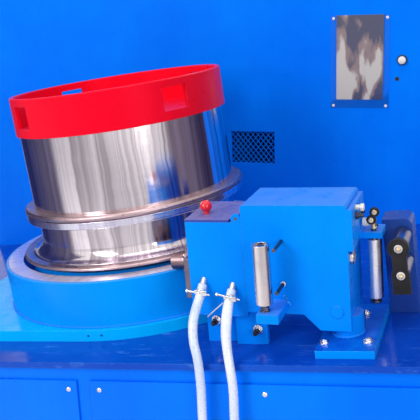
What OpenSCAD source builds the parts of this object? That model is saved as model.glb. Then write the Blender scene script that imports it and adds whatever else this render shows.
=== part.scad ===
// Wire drawing machine: one drawing block of a straight line, on its own inclined bed.
// The wire comes in on the right (+X), runs through the die box and winds round the drum.
// -Y is the operator's side. The floor is z = 0, under the middle of the machine.
// Most places are measured from the drum foot: where the drum's axis meets the top of the bed.

/* [Bed] */
// Reach of the machine from the drum foot to its left end
reach_left = 940; // [920:10:1200]
// Reach of the machine from the drum foot to its right end
reach_right = 1040; // [1000:10:1300]
// Height of the bed's top at the drum foot
bed_height = 720; // [650:5:800]
// Slope of the bed's top along the wire's way, in degrees
bed_slope = 6.7; // [4:0.1:8]
// Distance from the drum foot to the bed's front face
bed_front = 560; // [555:1:620]
// Thickness of the deck plate
deck_t = 16; // [10:1:25]
// How far the deck plate stands out over the bed's front face
deck_overhang = 15; // [8:1:20]
// Height of the recessed plinth
plinth_h = 90; // [60:5:150]
// How far the plinth stands back from the bed's faces
plinth_inset = 60; // [50:5:90]
// Thickness of the cover plates on the bed's front
cover_t = 6; // [4:1:10]
// Margin round the cover plates
cover_margin = 40; // [25:1:60]

/* [Floor lugs] */
// Length of a floor lug along the plinth
lug_l = 90; // [70:5:120]
// Thickness of a floor lug
lug_t = 20; // [12:1:30]
// Diameter of the anchor hole in a floor lug
anchor_hole_d = 22; // [14:1:26]

/* [Rear cabinet] */
// Height of the cabinet above the floor
cabinet_h = 1800; // [1600:10:2000]
// Depth of the cabinet
cabinet_depth = 290; // [200:10:400]
// Distance from the drum foot back to the cabinet's front wall
wall_back = 520; // [510:5:600]
// Thickness of the cabinet's sheets
sheet_t = 5; // [3:1:8]
// Width of the vent opening
vent_w = 161; // [120:1:200]
// Height of the vent opening
vent_h = 115; // [80:1:150]
// Distance of the vent's middle to the right of the drum foot
vent_x = 200; // [180:1:220]
// Height of the vent's middle over the drum foot
vent_z = 347; // [320:1:380]
// Width of one diamond of the vent's mesh
mesh_pitch_w = 19; // [15:1:30]
// Height of one diamond of the vent's mesh
mesh_pitch_h = 23; // [18:1:30]
// Width of a strand of the vent's mesh
strand_w = 3; // [2:0.1:4]
// Thickness of the vent's mesh
mesh_t = 2; // [1:0.5:4]
// Width of the window opening
window_w = 156; // [120:1:180]
// Height of the window opening
window_h = 260; // [200:5:300]
// Distance of the window's middle to the right of the drum foot
window_x = 582; // [560:1:600]
// Height of the window's lower edge over the drum foot
window_z = 524; // [500:1:560]
// Margin of the clear cover at the sides and the top of the window opening
window_margin = 20; // [14:1:26]
// Margin of the clear cover under the window opening
window_margin_low = 29; // [20:1:36]
// Thickness of the window's clear cover
window_t = 4; // [3:1:8]

/* [Drum base and housing] */
// Radius of the round part of the base plate
base_plate_r = 448; // [440:1:455]
// Thickness of the base plate
base_plate_t = 32; // [20:1:40]
// Reach of the base plate's straight part to the left
base_plate_left = 560; // [500:5:800]
// Outer radius of the round housing
housing_r = 431; // [425:1:438]
// Height of the housing over its base plate
housing_h = 131; // [120:1:140]
// Radius of the recess that the drum's lower flange turns in
recess_r = 376; // [373:1:382]
// Width of the groove in the housing under the flange's edge
groove_w = 30; // [20:1:40]
// Depth of the groove
groove_depth = 70; // [50:1:90]
// Width of the machined ring on the housing's rim
rim_ring_w = 46; // [30:1:48]
// Height of the machined ring
rim_ring_h = 8; // [4:1:12]
// Bevel of the housing's rim
rim_bevel = 3; // [1:0.5:4]
// Diameter of the two small holes in the base plate's edge
edge_hole_d = 7; // [5:1:12]
// Depth of the two small holes
edge_hole_depth = 12; // [8:1:20]
// Direction of the first small hole, in degrees
edge_hole_angle = -88.5; // [-89:0.5:-80]
// Outer radius of the spindle's bearing
bearing_r = 95; // [85:1:120]
// Diameter of the drum's spindle
spindle_d = 120; // [90:2:150]
// Running clearance of pins and shafts, on the diameter
running_clearance = 0.1; // [0.06:0.02:0.16]

/* [Drum] */
// Height of the red ring's top over the bed
drum_top_z = 654; // [640:1:670]
// Radius of the red ring
ring_r = 320; // [316:1:330]
// Height of the red ring
ring_h = 112; // [90:1:130]
// Wall of the red ring
ring_wall = 12; // [10:1:16]
// Width of a slot in the red ring
slot_w = 78; // [50:1:100]
// Height of a slot in the red ring
slot_h = 64; // [40:1:70]
// Height of a slot's lower edge over the ring's lower edge
slot_lift = 26; // [18:1:30]
// Number of slots in the red ring
slot_count = 4; // [3:1:6]
// Direction of the first slot, in degrees
slot_angle = -34.5; // [-80:0.5:10]
// Radius of the upper drum body
upper_r = 311; // [309:0.5:314]
// Height of the upper drum body
upper_h = 221; // [180:1:240]
// Radius of the flange under the upper drum body
mid_flange_r = 340; // [328:1:350]
// Height of the flange under the upper drum body
mid_flange_h = 18; // [12:1:24]
// Radius of the machined band under that flange
mid_band_r = 338; // [326:1:344]
// Height of the machined band
mid_band_h = 20; // [14:1:26]
// Radius of the lower drum body
lower_r = 305; // [296:1:310]
// Radius of the lower flange
low_flange_r = 368; // [360:1:370]
// Thickness of the lower flange
low_flange_t = 12; // [8:1:16]
// Gap between the lower flange and the housing's rim
drum_gap = 7; // [6:0.5:10]
// Radius of the hollow curve between the lower flange and the lower drum body
throat_r = 36; // [20:1:48]
// Wall of the drum bodies
drum_wall = 22; // [14:1:30]
// Thickness of the plate that closes the drum's top
top_plate_t = 12; // [8:1:16]
// Radius of the cap over the spindle's end
hub_cap_r = 95; // [80:1:120]
// Height of the cap over the spindle's end
hub_cap_h = 30; // [20:1:60]
// Bevel of the cap and of the red ring
drum_bevel = 3; // [1:0.5:5]

/* [Die box] */
// Tilt of the die box, in degrees
box_tilt = 3; // [2:0.1:4]
// Distance from the drum foot to the die box's left face
box_left = 338; // [334:1:350]
// Distance from the drum foot to the joint between the small and the big box
box_joint = 480; // [470:1:490]
// Distance from the drum foot to the die box's right face
box_right = 730; // [724:1:740]
// Distance from the drum foot forward to the die box's front face
box_front = 480; // [475:1:490]
// Depth of the die box
box_depth = 170; // [160:1:180]
// Wall of the small box
box_wall = 8; // [6:1:10]
// Height of the small box's lower face
small_box_z = 114; // [110:1:120]
// Height of the small box's rim
small_box_top = 351; // [340:1:354]
// Height of the big box's lower face at its left part
big_box_z = 125; // [121:1:130]
// Height of the big box's lower face at its right part
big_box_low = 87; // [80:1:90]
// Distance from the drum foot to the start of the big box's slanted underside
big_box_slant_x = 619; // [600:1:640]
// Height of the big box's top
big_box_top = 393; // [388:1:400]
// Edge bevel of the big box's top
box_bevel = 4; // [2:0.5:8]
// Height of the wire over the bed
wire_h = 187; // [184:1:187]
// Distance from the drum foot forward to the wire
wire_front = 346; // [342:1:350]
// Bore that the wire passes through
wire_bore_d = 26; // [16:1:28]
// Length of the die holder
die_holder_l = 60; // [40:1:90]
// Width of the die holder
die_holder_w = 52; // [40:1:56]
// Height of the die holder
die_holder_h = 139; // [120:1:160]
// Thickness of the plate on the die box's left face
exit_plate_t = 13; // [8:1:16]
// Height of that plate's lower edge
exit_plate_z = 155; // [140:1:165]
// Height of the plate itself
exit_plate_h = 102; // [90:1:120]
// Distance from the die box's back face to the plate's back edge
exit_plate_back = 10; // [4:1:20]
// Distance from the drum foot to the nozzle's tip
nozzle_x = 253; // [248:1:270]
// Length of the nozzle's narrow end
nozzle_tip_l = 45; // [30:1:48]
// Diameter of the nozzle's narrow end
nozzle_tip_d = 44; // [36:1:50]
// Diameter of the nozzle's wide end
nozzle_d = 72; // [60:1:74]
// Diameter of the nozzle's bore
nozzle_bore_d = 18; // [12:1:22]
// Thickness of the small box's lid
lid_t = 6; // [4:1:8]
// Gap under the closed lid
lid_gap = 0.3; // [0.2:0.1:0.6]
// Diameter of the lid's hinge pin
hinge_pin_d = 8; // [6:0.5:9]
// Radius of the lid's hinge barrel
hinge_barrel_r = 7; // [6:0.5:7]
// Thickness of an ear that holds the hinge pin
ear_t = 6; // [4:0.5:10]
// Radius of the ball on the lid
knob_r = 15; // [12:1:20]
// Distance from the lid's left edge to the ball
knob_x = 38; // [24:1:60]
// Distance from the lid's front edge to the ball
knob_y = 56; // [30:1:120]
// Radius of the plug on the big box's front
plug_r = 15; // [10:1:18]
// How far the plug stands out
plug_out = 3; // [2:0.5:5]
// Distance from the big box's right face to the plug
plug_x = 32; // [24:1:40]
// Height of the plug over the big box's lower face
plug_z = 49; // [40:1:60]

/* [Die box supports] */
// Radius of the support post
post_r = 36; // [30:1:40]
// Distance from the drum foot to the support post
post_x = 716; // [710:1:722]
// Distance from the drum foot forward to the support post
post_front = 432; // [425:1:438]
// Height of the post's top
post_top = 120; // [110:1:140]
// Width of the foot plate under the post
foot_plate_w = 137; // [120:1:150]
// Depth of the foot plate under the post
foot_plate_d = 280; // [250:1:290]
// Thickness of the foot plate
foot_plate_t = 20; // [12:1:24]
// Distance from the post to the foot plate's middle, along the wire
foot_plate_shift = 8; // [0:1:12]
// Distance from the drum foot forward to the foot plate's front edge
foot_plate_front = 540; // [530:1:550]
// Thickness of the cradle's plates
cradle_t = 16; // [10:1:20]
// Distance from the drum foot to the cradle's left edge
cradle_left = 358; // [350:1:380]
// Distance from the drum foot to the step in the cradle
cradle_step = 440; // [430:1:450]
// Distance from the drum foot to the cradle's right edge
cradle_right = 520; // [500:1:540]
// Distance from the drum foot forward to the cradle's front plate
cradle_front = 460; // [456:1:470]
// How far the cradle's left plate stands back from the front plate
cradle_setback = 18; // [18:1:30]

/* [Front roller] */
// Radius of the front roller
front_roller_r = 20; // [18:1:24]
// Length of the front roller
front_roller_l = 143; // [130:1:156]
// Height of the front roller's lower end
front_roller_z = 178; // [170:1:184]
// Diameter of the front roller's pin
front_pin_d = 16; // [12:1:18]
// Distance from the die box's front face to the front roller's axis
front_roller_out = 68; // [62:1:76]
// Distance from the drum foot to the front roller's axis
front_roller_x = 545; // [540:1:550]
// Depth of the recess in the front roller's upper end
roller_recess = 8; // [4:1:12]
// Height of the upper face of the front roller's bracket
roller_bracket_top = 160; // [150:1:164]
// Thickness of the front roller's bracket
roller_bracket_t = 22; // [16:1:26]
// Width of the front roller's bracket
roller_bracket_w = 52; // [46:1:60]
// Distance from the roller's axis to the bracket's left face
roller_bracket_left = 15; // [14:1:20]
// Distance from the roller's axis forward to the bracket's nose
roller_bracket_nose = 26; // [20:1:30]
// Radius of the two studs behind the front roller
stud_r = 4.5; // [3:0.5:6]
// Length of the two studs
stud_l = 70; // [60:1:80]
// Height of the lower stud
stud_low_z = 204; // [190:1:220]
// Height of the upper stud
stud_high_z = 307; // [290:1:320]
// Gap kept round what moves
moving_gap = 6; // [5:0.5:8]

/* [Wire guide] */
// Radius of a guide roller
guide_roller_r = 14; // [12:1:16]
// Length of a guide roller
guide_roller_l = 149; // [140:1:160]
// Diameter of a guide roller's pin
guide_pin_d = 12; // [10:1:14]
// Gap between the guide rollers that the wire passes through
guide_gap = 6; // [5:0.5:10]
// Distance from the drum foot to the guide rollers
guide_x = 772; // [768:1:776]
// Height of the underside of the arm that holds the guide rollers
guide_arm_z = 285; // [282:1:288]
// Thickness of the arm that holds the guide rollers
guide_arm_t = 15; // [10:1:18]
// Distance from the drum foot forward to the arm's front edge
guide_arm_front = 380; // [378:1:400]
// Distance from the guide rollers' axes to the arm's end
guide_arm_nose = 21; // [16:1:24]
// Thickness of the side plate that carries the arm
side_plate_t = 12; // [8:1:16]
// Distance from the big box's top to the side plate's top
side_plate_drop = 10; // [6:1:16]
// Thickness of the collar under a guide roller
guide_collar_t = 5; // [4:1:8]
// Width of the stand behind the guide
stand_w = 72; // [66:1:90]
// Depth of the stand behind the guide
stand_d = 80; // [70:1:100]
// Height of the stand over the bed
stand_h = 248; // [240:1:270]
// Distance from the drum foot forward to the stand's front face
stand_front = 270; // [262:1:280]
// Gap between the post's foot plate and the stand
stand_gap = 3.5; // [2:0.5:8]
// Rounding of the stand's outer top edge
stand_round = 18; // [10:1:26]
// Radius of the two cross rollers in front of the stand
cross_roller_r = 20; // [18:0.5:20]
// Length of a cross roller
cross_roller_l = 95; // [80:1:100]
// Distance from the drum foot to the cross rollers
cross_roller_x = 846; // [840:1:850]
// Height of the upper cross roller's axis over the bed
cross_upper_z = 209; // [208:1:214]
// Height of the lower cross roller's axis over the bed
cross_lower_z = 142; // [136:1:146]
// Diameter of a cross roller's pin
cross_pin_d = 12; // [10:1:14]
// Thickness of the black link plate
link_t = 12; // [8:1:16]
// Radius of the link plate's round upper end
link_top_r = 25; // [22:1:28]
// Width of the link plate between the rollers
link_waist_w = 34; // [28:1:38]
// Width of the link plate's lower end
link_w = 42; // [38:1:48]
// Height of the link plate's lower edge over the bed
link_z = 95; // [85:1:105]

/* [Cooling hoses] */
// Outer diameter of the hoses
hose_d = 22; // [18:1:24]
// Outer diameter of the short tubes that the hoses start on
nipple_d = 18; // [14:1:18]
// Outer radius of the elbows that the hoses end on
elbow_r = 13; // [12:1:14]
// Height of an elbow from its middle to the hose's end
elbow_h = 60; // [40:1:80]

/* [Hidden] */
$fn = 96;
round_fn = 144;
over = 1;
far = 1200;

// The hoses' routes, from the die box to the elbows on the bed:
// to the right of the drum foot, back from the die box's front face, up from the bed at the drum foot
hose_left_route = [
    [362, -8, 213], [362, -22, 201], [362, -36, 189], [360, -56, 170], [359, -74, 148],
    [362, -89, 125], [368, -101, 100], [377, -109, 74], [383, -115, 47], [386, -117, 16],
    [387, -117, -15], [387, -117, -45], [387, -117, -75], [387, -117, -108], [387, -117, -140]];
hose_right_route = [
    [436, -8, 206], [436, -22, 194], [436, -36, 182], [438, -56, 163], [441, -74, 141],
    [445, -89, 118], [451, -101, 93], [457, -109, 67], [463, -115, 40], [467, -117, 9],
    [468, -117, -20], [468, -117, -50], [468, -117, -80], [468, -117, -110], [468, -117, -140]];
routes = [hose_left_route, hose_right_route];
hose_out = -hose_left_route[len(hose_left_route) - 1][1];

// Places that the pieces share
front_reach = max(bed_front + deck_overhang, box_front + hose_out + elbow_r);
back_reach = wall_back + cabinet_depth;
origin_x = (reach_left - reach_right) / 2;
origin_y = (front_reach - back_reach) / 2;
middle_x = (reach_right - reach_left) / 2;
housing_top = base_plate_t + housing_h;
boss_top = housing_top - 2;
low_flange_z = housing_top + drum_gap;
lower_body_z = low_flange_z + low_flange_t;
ring_z = drum_top_z - ring_h;
upper_z = ring_z - upper_h;
mid_flange_z = upper_z - mid_flange_h;
mid_band_z = mid_flange_z - mid_band_h;
box_back = box_front - box_depth;
box_inner_right = box_joint - 2 * box_wall;
lid_z = small_box_top + lid_gap;
hinge_x = box_joint - hinge_barrel_r - 5;
hinge_z = lid_z + lid_t + 3;
ear_w = 2 * (box_joint - hinge_x);
roller_y = -box_front - front_roller_out;
guide_front_y = -wire_front - guide_gap / 2 - guide_roller_r;
guide_back_y = -wire_front + guide_gap / 2 + guide_roller_r;
guide_z = guide_arm_z - moving_gap - guide_roller_l;
exit_face = box_left - exit_plate_t;
foot_plate_x = post_x + foot_plate_shift - foot_plate_w / 2;
stand_x = foot_plate_x + foot_plate_w + stand_gap;
cross_roller_y = -stand_front - moving_gap - cross_roller_l;
link_back = cross_roller_y - moving_gap;

// Height of the bed's top over the floor, at a distance to the right of the drum foot
function bed_z(x) = bed_height + x * tan(bed_slope);
function unit(v) = v / norm(v);

// From the drum foot to the machine's own origin
module placed() {
    translate([origin_x, origin_y, 0]) children();
}

// On the inclined bed, with the drum's axis as z
module on_bed() {
    placed() translate([0, 0, bed_height]) rotate([0, -bed_slope, 0]) children();
}

// Upright with the die box
module in_box() {
    placed() translate([0, 0, bed_height]) rotate([0, -box_tilt, 0]) children();
}

// A block from its left, right, front, back, lower and upper faces
module block(x0, x1, y0, y1, z0, z1) {
    translate([x0, y0, z0]) cube([x1 - x0, y1 - y0, z1 - z0]);
}

// A profile of the xz plane, run from one y to another
module run_back(y0, y1) {
    translate([0, y1, 0]) rotate([90, 0, 0]) linear_extrude(y1 - y0) children();
}

// A cylinder along x, from one x to another
module along_x(x0, x1, y, z, d) {
    translate([x0, y, z]) rotate([0, 90, 0]) cylinder(h = x1 - x0, d = d);
}

// A cylinder along y, from one y to another
module along_y(x, y0, y1, z, d) {
    translate([x, y0, z]) rotate([-90, 0, 0]) cylinder(h = y1 - y0, d = d);
}

// Everything under a height over the bed, where the die box stands
module under_bed(top) {
    on_bed() block(0, far, -far, 0, -far, top);
}

module bed_body() {
    color("royalblue") placed() run_back(-bed_front, wall_back)
        polygon([[-reach_left, plinth_h], [reach_right, plinth_h],
            [reach_right, bed_z(reach_right) - deck_t], [-reach_left, bed_z(-reach_left) - deck_t]]);
}

module bed_plinth() {
    color("darkslategray") placed()
        block(-reach_left + plinth_inset, reach_right - plinth_inset,
            -bed_front + plinth_inset, wall_back - plinth_inset, 0, plinth_h);
}

module floor_lugs() {
    ends = [-reach_left + plinth_inset + lug_l, reach_right - plinth_inset - lug_l];
    color("royalblue") placed() for (x = ends) {
        floor_lug(x, -bed_front, -bed_front + plinth_inset);
        floor_lug(x, wall_back - plinth_inset, wall_back);
    }
}

module floor_lug(x, y0, y1) {
    difference() {
        block(x - lug_l / 2, x + lug_l / 2, y0, y1, 0, lug_t);
        translate([x, (y0 + y1) / 2, -over]) cylinder(h = lug_t + 2 * over, d = anchor_hole_d);
    }
}

module bed_front_covers() {
    spans = [[-reach_left + cover_margin, middle_x - cover_margin / 2],
        [middle_x + cover_margin / 2, reach_right - cover_margin]];
    drop = deck_t + cover_margin;
    color("royalblue") placed() run_back(-bed_front - cover_t, -bed_front) for (s = spans)
        polygon([[s[0], plinth_h + cover_margin], [s[1], plinth_h + cover_margin],
            [s[1], bed_z(s[1]) - drop], [s[0], bed_z(s[0]) - drop]]);
}

module deck_plate() {
    color("mediumblue") placed() run_back(-bed_front - deck_overhang, wall_back)
        polygon([[-reach_left, bed_z(-reach_left) - deck_t], [reach_right, bed_z(reach_right) - deck_t],
            [reach_right, bed_z(reach_right)], [-reach_left, bed_z(-reach_left)]]);
}

module cabinet_front() {
    color("blue") placed() difference() {
        block(-reach_left, reach_right, wall_back, wall_back + sheet_t, 0, cabinet_h);
        translate([vent_x, wall_back, bed_height + vent_z])
            block(-vent_w / 2, vent_w / 2, -over, sheet_t + over, -vent_h / 2, vent_h / 2);
        translate([window_x, wall_back, bed_height + window_z])
            block(-window_w / 2, window_w / 2, -over, sheet_t + over, 0, window_h);
    }
}

module cabinet_back() {
    color("blue") placed()
        block(-reach_left, reach_right, back_reach - sheet_t, back_reach, 0, cabinet_h);
}

module cabinet_sides() {
    color("blue") placed() for (x = [-reach_left, reach_right - sheet_t])
        block(x, x + sheet_t, wall_back + sheet_t, back_reach - sheet_t, 0, cabinet_h - sheet_t);
}

module cabinet_top() {
    color("blue") placed()
        block(-reach_left, reach_right, wall_back + sheet_t, back_reach - sheet_t,
            cabinet_h - sheet_t, cabinet_h);
}

module vent_mesh() {
    frame_w = 8;
    across = atan2(mesh_pitch_h, mesh_pitch_w);
    reach = vent_w / 2 + vent_h / 2 * mesh_pitch_w / mesh_pitch_h;
    count = ceil(reach / mesh_pitch_w);
    color("navy") placed()
        translate([vent_x, wall_back + sheet_t + mesh_t, bed_height + vent_z]) rotate([90, 0, 0])
            linear_extrude(mesh_t) {
                difference() {
                    square([vent_w + 2 * frame_w, vent_h + 2 * frame_w], center = true);
                    square([vent_w, vent_h], center = true);
                }
                intersection() {
                    square([vent_w + frame_w, vent_h + frame_w], center = true);
                    for (lean = [-1, 1])
                        for (i = [-count : count])
                            translate([i * mesh_pitch_w, 0]) rotate(lean * across)
                                square([vent_w + vent_h, strand_w], center = true);
                }
            }
}

module window_cover() {
    color([0.8, 0.85, 0.9, 0.4]) placed()
        translate([window_x, wall_back, bed_height + window_z])
            block(-window_w / 2 - window_margin, window_w / 2 + window_margin, -window_t, 0,
                -window_margin_low, window_h + window_margin);
}

module drum_base_plate() {
    color("dodgerblue") on_bed() difference() {
        linear_extrude(base_plate_t) union() {
            circle(base_plate_r, $fn = round_fn);
            translate([-base_plate_left, -base_plate_r]) square([base_plate_left, 2 * base_plate_r]);
        }
        for (a = [edge_hole_angle, edge_hole_angle + 5]) rotate(a)
            along_x(base_plate_r - edge_hole_depth, base_plate_r + over, 0, base_plate_t / 2, edge_hole_d);
    }
}

module drum_housing() {
    color("dodgerblue") on_bed() rotate_extrude($fn = round_fn)
        polygon([[bearing_r, base_plate_t], [housing_r, base_plate_t],
            [housing_r, housing_top - rim_bevel], [housing_r - rim_bevel, housing_top],
            [recess_r + rim_ring_w, housing_top], [recess_r + rim_ring_w, housing_top - rim_ring_h],
            [recess_r, housing_top - rim_ring_h], [recess_r, housing_top - groove_depth],
            [recess_r - groove_w, housing_top - groove_depth], [recess_r - groove_w, boss_top],
            [bearing_r, boss_top]]);
}

module housing_rim_ring() {
    color("silver") on_bed() translate([0, 0, housing_top - rim_ring_h])
        rotate_extrude($fn = round_fn) translate([recess_r, 0]) square([rim_ring_w, rim_ring_h]);
}

module drum_bearing() {
    color("gray") on_bed() translate([0, 0, base_plate_t]) difference() {
        cylinder(r = bearing_r, h = boss_top - base_plate_t);
        translate([0, 0, -over])
            cylinder(d = spindle_d + running_clearance, h = boss_top - base_plate_t + 2 * over);
    }
}

module drum_spindle() {
    bottom = base_plate_t + moving_gap;
    color("silver") on_bed() translate([0, 0, bottom])
        cylinder(d = spindle_d, h = ring_z + top_plate_t - bottom);
}

module drum_lower_flange() {
    edge = low_flange_t / 2;
    rim = [for (a = [-90 : 15 : 90])
        [low_flange_r - edge + edge * cos(a), low_flange_z + edge + edge * sin(a)]];
    color("rosybrown") on_bed() rotate_extrude($fn = round_fn) polygon(concat(
        [[spindle_d / 2, lower_body_z], [spindle_d / 2, low_flange_z]], rim));
}

module drum_lower_body() {
    inner = lower_r - drum_wall;
    throat = [for (a = [0 : 7.5 : 90])
        [lower_r + throat_r * (1 - sin(a)), lower_body_z + throat_r * (1 - cos(a))]];
    color("silver") on_bed() rotate_extrude($fn = round_fn) polygon(concat(
        throat, [[lower_r, mid_band_z], [inner, mid_band_z], [inner, lower_body_z]]));
}

module drum_mid_band() {
    bevel = mid_band_h / 10;
    color("silver") on_bed() translate([0, 0, mid_band_z]) rotate_extrude($fn = round_fn)
        polygon([[lower_r - drum_wall, 0], [mid_band_r - bevel, 0], [mid_band_r, bevel],
            [mid_band_r, mid_band_h], [lower_r - drum_wall, mid_band_h]]);
}

module drum_mid_flange() {
    inner = lower_r - drum_wall;
    lip = mid_flange_h / 2;
    rim = [for (a = [-90 : 15 : 90])
        [mid_flange_r - lip + lip * cos(a), mid_flange_z + lip + lip * sin(a)]];
    color("rosybrown") on_bed() rotate_extrude($fn = round_fn) polygon(concat(
        [[inner, upper_z], [inner, mid_flange_z]], rim));
}

module drum_upper_body() {
    color("silver") on_bed() translate([0, 0, upper_z]) rotate_extrude($fn = round_fn)
        translate([upper_r - drum_wall, 0]) square([drum_wall, upper_h]);
}

module drum_top_plate() {
    color("firebrick") on_bed() translate([0, 0, ring_z]) rotate_extrude($fn = round_fn)
        translate([spindle_d / 2, 0]) square([ring_r - ring_wall - spindle_d / 2, top_plate_t]);
}

module drum_hub_cap() {
    bevel = 2 * drum_bevel;
    color("firebrick") on_bed() translate([0, 0, ring_z + top_plate_t]) {
        cylinder(r = hub_cap_r, h = hub_cap_h - bevel);
        translate([0, 0, hub_cap_h - bevel]) cylinder(r1 = hub_cap_r, r2 = hub_cap_r - bevel, h = bevel);
    }
}

module drum_red_ring() {
    color("red") on_bed() translate([0, 0, ring_z]) difference() {
        rotate_extrude($fn = round_fn)
            polygon([[ring_r - ring_wall, 0], [ring_r, 0], [ring_r, ring_h - drum_bevel],
                [ring_r - drum_bevel, ring_h], [ring_r - ring_wall + drum_bevel, ring_h],
                [ring_r - ring_wall, ring_h - drum_bevel]]);
        for (i = [1 : slot_count]) rotate(slot_angle + 360 * i / slot_count)
            block(ring_r - 2 * ring_wall, ring_r + ring_wall, -slot_w / 2, slot_w / 2,
                slot_lift, slot_lift + slot_h);
    }
}

// The wire's own way through the die box, parallel to the bed
module wire_way() {
    on_bed() along_x(nozzle_x, far, -wire_front, wire_h, wire_bore_d);
}

module small_die_box() {
    color("dodgerblue") difference() {
        in_box() difference() {
            block(box_left, box_joint, -box_front, -box_back, small_box_z, small_box_top);
            block(box_left + box_wall, box_inner_right, -box_front + box_wall,
                -box_back - box_wall, small_box_z + box_wall, small_box_top + over);
        }
        wire_way();
    }
}

module die_holder() {
    x0 = box_left + box_wall;
    floor_z = small_box_z + box_wall;
    color("dimgray") difference() {
        in_box() block(x0, x0 + die_holder_l, -wire_front - die_holder_w / 2,
            -wire_front + die_holder_w / 2, floor_z, floor_z + die_holder_h);
        wire_way();
    }
}

module big_die_box() {
    slant_end = big_box_slant_x + big_box_z - big_box_low;
    color("dodgerblue") difference() {
        in_box() {
            run_back(-box_front, -box_back)
                polygon([[box_joint, big_box_z], [big_box_slant_x, big_box_z],
                    [slant_end, big_box_low], [box_right, big_box_low],
                    [box_right, big_box_top - box_bevel], [box_right - box_bevel, big_box_top],
                    [box_joint + box_bevel, big_box_top], [box_joint, big_box_top - box_bevel]]);
            along_y(box_right - plug_x, -box_front - plug_out, -box_front, big_box_low + plug_z, 2 * plug_r);
        }
        wire_way();
        in_box() translate([post_x, -post_front, big_box_low - over])
            cylinder(h = post_top - big_box_low + over, r = post_r);
    }
}

module lid_ears() {
    color("dodgerblue") in_box() for (y = [-box_front, -box_back - ear_t]) difference() {
        run_back(y, y + ear_t) {
            intersection() {
                translate([hinge_x, hinge_z]) circle(r = ear_w / 2);
                translate([hinge_x - ear_w, small_box_top]) square(2 * ear_w);
            }
            translate([hinge_x - ear_w / 2, small_box_top]) square([ear_w, hinge_z - small_box_top]);
        }
        along_y(hinge_x, y - over, y + ear_t + over, hinge_z, hinge_pin_d);
    }
}

module lid_hinge_pin() {
    color("silver") in_box() along_y(hinge_x, -box_front, -box_back, hinge_z, hinge_pin_d);
}

module die_box_lid() {
    clear = ear_t + moving_gap;
    leaf_end = hinge_x - ear_w / 2 - moving_gap;
    color("mediumslateblue") in_box() difference() {
        union() {
            block(box_left, leaf_end, -box_front, -box_back, lid_z, lid_z + lid_t);
            run_back(-box_front + clear, -box_back - clear) union() {
                translate([hinge_x, hinge_z]) circle(r = hinge_barrel_r);
                translate([leaf_end, lid_z]) square([hinge_x - leaf_end, lid_t]);
            }
        }
        along_y(hinge_x, -box_front, -box_back, hinge_z, hinge_pin_d + running_clearance);
    }
}

module lid_knob() {
    stem = 0.4 * knob_r;
    color("red") in_box() translate([box_left + knob_x, -box_front + knob_y, lid_z + lid_t])
        rotate_extrude() difference() {
            union() {
                square([knob_r / 2, stem + knob_r / 2]);
                translate([0, stem + 0.85 * knob_r]) circle(knob_r);
            }
            translate([-2 * knob_r, -over]) square([2 * knob_r, 4 * knob_r]);
        }
}

module exit_plate() {
    color("gray") difference() {
        in_box() block(exit_face, box_left, -box_front, -box_back - exit_plate_back,
            exit_plate_z, exit_plate_z + exit_plate_h);
        wire_way();
    }
}

module exit_nozzle() {
    color("saddlebrown") difference() {
        on_bed() difference() {
            union() {
                along_x(nozzle_x, box_right, -wire_front, wire_h, nozzle_tip_d);
                along_x(nozzle_x + nozzle_tip_l, box_right, -wire_front, wire_h, nozzle_d);
            }
            along_x(nozzle_x - over, box_right + over, -wire_front, wire_h, nozzle_bore_d);
        }
        in_box() block(exit_face, far, -far, 0, 0, far);
    }
}

module support_post() {
    color("dodgerblue") difference() {
        in_box() translate([post_x, -post_front, 0]) cylinder(h = post_top, r = post_r);
        under_bed(foot_plate_t);
    }
}

module post_foot_plate() {
    color("dodgerblue") on_bed() block(foot_plate_x, foot_plate_x + foot_plate_w,
        -foot_plate_front, -foot_plate_front + foot_plate_d, 0, foot_plate_t);
}

module box_cradle() {
    wing_front = cradle_front - cradle_setback;
    color("dodgerblue") difference() {
        in_box() {
            block(cradle_step, box_joint, -cradle_front, -cradle_front + cradle_t, 0, small_box_z);
            block(box_joint, cradle_right, -cradle_front, -cradle_front + cradle_t, 0, big_box_z);
            block(cradle_left, cradle_step, -wing_front, -wing_front + cradle_t, 0, small_box_z);
            block(cradle_step - cradle_t, cradle_step, -wing_front, -box_back - box_wall, 0, small_box_z);
        }
        under_bed(0);
    }
}

module roller_bracket() {
    x0 = front_roller_x - roller_bracket_left;
    color("dodgerblue") in_box() difference() {
        block(x0, x0 + roller_bracket_w, roller_y - roller_bracket_nose, -box_front,
            roller_bracket_top - roller_bracket_t, roller_bracket_top);
        translate([front_roller_x, roller_y, 0]) cylinder(h = front_roller_z, d = front_pin_d);
    }
}

module front_roller_pin() {
    bottom = roller_bracket_top - roller_bracket_t;
    color("dimgray") in_box() translate([front_roller_x, roller_y, bottom])
        cylinder(h = front_roller_z + front_roller_l - roller_recess - bottom, d = front_pin_d);
}

module front_roller() {
    color("silver") in_box() translate([front_roller_x, roller_y, front_roller_z]) difference() {
        cylinder(h = front_roller_l, r = front_roller_r);
        translate([0, 0, -over])
            cylinder(h = front_roller_l + 2 * over, d = front_pin_d + running_clearance);
        translate([0, 0, front_roller_l - roller_recess])
            cylinder(h = roller_recess + over, r = 0.75 * front_roller_r);
    }
}

module roller_studs() {
    x = front_roller_x + front_roller_r + moving_gap + stud_r;
    color("black") in_box() for (z = [stud_low_z, stud_high_z])
        along_y(x, -box_front - stud_l, -box_front, z, 2 * stud_r);
}

module guide_side_plate() {
    color("dodgerblue") in_box() difference() {
        union() {
            block(box_right, box_right + side_plate_t, -box_front, -box_back,
                guide_arm_z, big_box_top - side_plate_drop);
            block(box_right + side_plate_t, guide_x + guide_arm_nose, -guide_arm_front, -box_back,
                guide_arm_z, guide_arm_z + guide_arm_t);
        }
        for (y = [guide_front_y, guide_back_y]) translate([guide_x, y, 0])
            cylinder(h = big_box_top, d = guide_pin_d);
    }
}

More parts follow.
